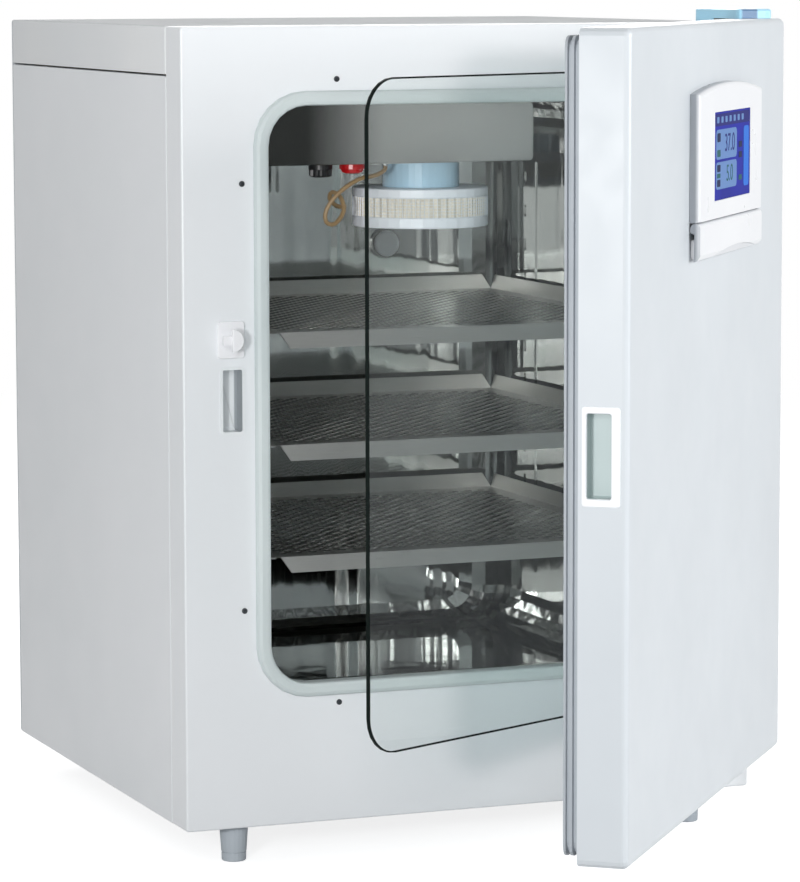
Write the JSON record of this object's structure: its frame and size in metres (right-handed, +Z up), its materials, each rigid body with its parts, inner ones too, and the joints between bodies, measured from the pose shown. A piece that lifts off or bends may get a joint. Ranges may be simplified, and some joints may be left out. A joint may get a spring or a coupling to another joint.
{
  "type": "carbon dioxide incubator",
  "caption": "Bench cabinet for growing cell cultures: insulated steel chamber with slide-in shelves, fan and filter, an inner glass door and an outer door with a control panel.",
  "frame": {"origin": "centre of the whole object's box at floor level, with both doors open as pictured", "axes": "+Z up, +Y from the front to the back of the cabinet, +X to the right of someone facing the front"},
  "size_m": [0.7162, 1.2648, 0.9605],
  "materials": {
    "white_powder_coat": "satin",
    "grey_powder_coat": "satin",
    "polished_stainless": "polished",
    "brushed_stainless": "brushed",
    "zinc_plated_steel": "satin",
    "cast_aluminium": "satin",
    "polyurethane_foam": "matte",
    "silicone_trim": "matte",
    "door_seal": "matte",
    "tempered_glass": "polished",
    "white_abs": "satin",
    "grey_rubber": "matte",
    "black_plastic": "matte",
    "red_plastic": "gloss",
    "blue_plastic": "satin",
    "cyan_plastic": "satin",
    "filter_cap_plastic": "satin",
    "glass_fibre_paper": "matte",
    "amber_silicone": "satin",
    "display_glass": "gloss"
  },
  "bodies": {
    "cabinet": {"front_frame": "white_powder_coat", "side_panel_left": "white_powder_coat", "side_panel_right": "white_powder_coat", "top_cover": "white_powder_coat", "rear_panel": "grey_powder_coat", "base_pan": "grey_powder_coat", "foot_1": "grey_rubber", "foot_2": "grey_rubber", "foot_3": "grey_rubber", "foot_4": "grey_rubber", "chamber_liner": "polished_stainless", "opening_trim": "silicone_trim", "insulation_jacket": "polyurethane_foam", "finger_recess": "grey_powder_coat", "catch_plate": "white_abs", "hinge_bracket_upper": "zinc_plated_steel", "hinge_bracket_lower": "white_powder_coat", "hinge_cap": "cyan_plastic", "glass_hinge_lower": "zinc_plated_steel", "glass_hinge_upper": "zinc_plated_steel", "plenum_housing": "brushed_stainless", "fan_motor": "cast_aluminium", "filter_neck": "blue_plastic", "filter_cap_top": "filter_cap_plastic", "filter_cap_end": "filter_cap_plastic", "filter_media": "glass_fibre_paper", "sensor_guard": "black_plastic", "red_cap": "red_plastic", "air_tube": "amber_silicone", "tube_fitting": "cast_aluminium", "rack_left": "brushed_stainless", "rack_right": "brushed_stainless", "port_sleeve": "brushed_stainless", "port_plug_inner": "grey_rubber", "port_plug_outer": "grey_rubber", "power_inlet": "black_plastic", "gas_inlet": "zinc_plated_steel"},
    "outer_door": {"door_shell": "white_powder_coat", "door_liner": "white_abs", "door_core": "polyurethane_foam", "door_gasket": "door_seal", "grip_pocket": "white_abs", "panel_housing": "white_abs", "display": "display_glass", "service_plate": "white_abs"},
    "glass_door": {"glass_pane": "tempered_glass", "glass_clamp_lower": "zinc_plated_steel", "glass_clamp_upper": "zinc_plated_steel"},
    "shelf_low": {"shelf_1": "brushed_stainless"},
    "shelf_middle": {"shelf_2": "brushed_stainless"},
    "shelf_high": {"shelf_3": "brushed_stainless"},
    "catch": {"catch_knob": "white_abs"},
    "flap": {"panel_flap": "white_abs"},
    "fan": {"fan_rotor": "cast_aluminium"}
  },
  "joints": [
    {"name": "outer_door_hinge", "type": "hinge", "parent": "cabinet", "child": "outer_door", "pos_m": [0.31994, -0.08988, 0.522], "axis": [0, 0, 1], "range_deg": [-50.5, 69.5]},
    {"name": "glass_door_hinge", "type": "hinge", "parent": "cabinet", "child": "glass_door", "pos_m": [0.27394, -0.06418, 0.528], "axis": [0, 0, 1], "range_deg": [-25.2, 34.8]},
    {"name": "shelf_low_slide", "type": "slide", "parent": "cabinet", "child": "shelf_low", "axis": [0, -1, 0], "range_m": [0, 0.065]},
    {"name": "shelf_middle_slide", "type": "slide", "parent": "cabinet", "child": "shelf_middle", "axis": [0, -1, 0], "range_m": [0, 0.065]},
    {"name": "shelf_high_slide", "type": "slide", "parent": "cabinet", "child": "shelf_high", "axis": [0, -1, 0], "range_m": [0, 0.065]},
    {"name": "catch_turn", "type": "hinge", "parent": "cabinet", "child": "catch", "pos_m": [-0.30406, -0.05188, 0.5965], "axis": [0, -1, 0], "range_deg": [0, 180]},
    {"name": "panel_flap_hinge", "type": "hinge", "parent": "outer_door", "child": "flap", "pos_m": [0.16878, -0.33851, 0.7325], "axis": [-0.6361, -0.7716, 0], "range_deg": [0, 75]},
    {"name": "fan_spin", "type": "hinge", "parent": "cabinet", "child": "fan", "pos_m": [-0.00806, 0.11712, 0.812], "axis": [0, 0, 1], "continuous": true}
  ],
  "couplings": [
    {"joint": "glass_door_hinge", "follows": "outer_door_hinge", "ratio": 0.499}
  ]
}
